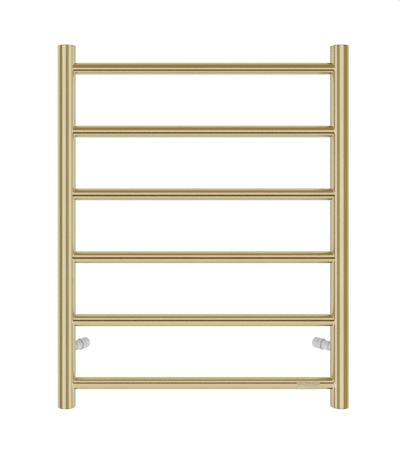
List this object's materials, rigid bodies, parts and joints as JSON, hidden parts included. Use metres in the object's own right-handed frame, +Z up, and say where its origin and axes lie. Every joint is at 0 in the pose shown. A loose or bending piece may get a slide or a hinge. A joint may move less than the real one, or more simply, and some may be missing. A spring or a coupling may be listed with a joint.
{
  "type": "towel warmer rack",
  "caption": "Wall-mounted ladder towel warmer: round gold rungs between two round posts, telescopic wall mounts, grey cable glands low on both posts.",
  "frame": {"origin": "on the wall, at the centre of the four wall fixings", "axes": "+X along the rungs to the viewer's right, +Y back towards the wall, +Z up along the posts; the front faces -Y"},
  "size_m": [0.52, 0.091, 0.644],
  "materials": {
    "gold_steel": "satin gold PVD on stainless steel",
    "grey_nylon": "moulded light grey nylon",
    "rubber": "moulded rubber",
    "mount_steel": "gold PVD on turned stainless steel",
    "screw_steel": "plain stainless steel",
    "satin_plate": "blank satin gold foil",
    "cable_silicone": "silicone jacket",
    "sleeve_black": "heat-shrunk sleeve",
    "block_plastic": "moulded polyamide",
    "brass": "turned",
    "tin_plate": "tinned or pressed",
    "lead_blue": "PVC insulation",
    "lead_green": "PVC insulation"
  },
  "bodies": {
    "wall_mounts": {"wall_stud_upper_left": "mount_steel", "wall_stud_upper_right": "mount_steel", "wall_stud_lower_left": "mount_steel", "wall_stud_lower_right": "mount_steel"},
    "rack": {"bottom_cap_left": "gold_steel", "bottom_cap_right": "gold_steel", "cable_end_seal": "sleeve_black", "cap_screws": "screw_steel", "cap_seal_left": "rubber", "cap_seal_right": "rubber", "cold_splice": "sleeve_black", "cutout_leads": "lead_blue", "earth_lead": "lead_green", "earth_nut": "screw_steel", "earth_stud": "screw_steel", "earth_tag": "tin_plate", "gland_body_left": "grey_nylon", "gland_body_right": "grey_nylon", "gland_locknut_left": "grey_nylon", "gland_locknut_right": "grey_nylon", "gland_plug_left": "grey_nylon", "gland_plug_right": "grey_nylon", "gland_seal_left": "rubber", "gland_seal_right": "rubber", "heating_cable": "cable_silicone", "left_post": "gold_steel", "mount_sleeve_lower_left": "gold_steel", "mount_sleeve_lower_right": "gold_steel", "mount_sleeve_upper_left": "gold_steel", "mount_sleeve_upper_right": "gold_steel", "nameplate": "satin_plate", "right_post": "gold_steel", "rung_1": "gold_steel", "rung_2": "gold_steel", "rung_3": "gold_steel", "rung_4": "gold_steel", "rung_5": "gold_steel", "rung_6": "gold_steel", "terminal_block": "block_plastic", "terminal_clamps": "brass", "terminal_screws": "screw_steel", "thermal_cutout": "tin_plate", "top_cap_left": "gold_steel", "top_cap_right": "gold_steel"},
    "grub_screw_upper_left": {"grub_screw_upper_left": "screw_steel"},
    "grub_screw_upper_right": {"grub_screw_upper_right": "screw_steel"},
    "grub_screw_lower_left": {"grub_screw_lower_left": "screw_steel"},
    "grub_screw_lower_right": {"grub_screw_lower_right": "screw_steel"},
    "gland_nut_left": {"gland_nut_left": "grey_nylon"},
    "gland_nut_right": {"gland_nut_right": "grey_nylon"}
  },
  "joints": [
    {"name": "wall_distance", "type": "slide", "parent": "wall_mounts", "child": "rack", "axis": [0, 1, 0], "range_m": [-0.006, 0.01]},
    {"name": "grub_turn_upper_left", "type": "hinge", "parent": "rack", "child": "grub_screw_upper_left", "pos_m": [-0.244, -0.03, 0.171], "axis": [0, 0, -1], "range_deg": [-720, 0]},
    {"name": "grub_turn_upper_right", "type": "hinge", "parent": "rack", "child": "grub_screw_upper_right", "pos_m": [0.244, -0.03, 0.171], "axis": [0, 0, -1], "range_deg": [-720, 0]},
    {"name": "grub_turn_lower_left", "type": "hinge", "parent": "rack", "child": "grub_screw_lower_left", "pos_m": [-0.244, -0.03, -0.187], "axis": [0, 0, -1], "range_deg": [-720, 0]},
    {"name": "grub_turn_lower_right", "type": "hinge", "parent": "rack", "child": "grub_screw_lower_right", "pos_m": [0.244, -0.03, -0.187], "axis": [0, 0, -1], "range_deg": [-720, 0]},
    {"name": "gland_nut_turn_left", "type": "hinge", "parent": "rack", "child": "gland_nut_left", "pos_m": [-0.2159, -0.03486, -0.215], "axis": [0.5736, 0.8192, 0], "range_deg": [-1080, 0]},
    {"name": "gland_nut_turn_right", "type": "hinge", "parent": "rack", "child": "gland_nut_right", "pos_m": [0.2159, -0.03486, -0.215], "axis": [-0.5736, 0.8192, 0], "range_deg": [-1080, 0]}
  ]
}
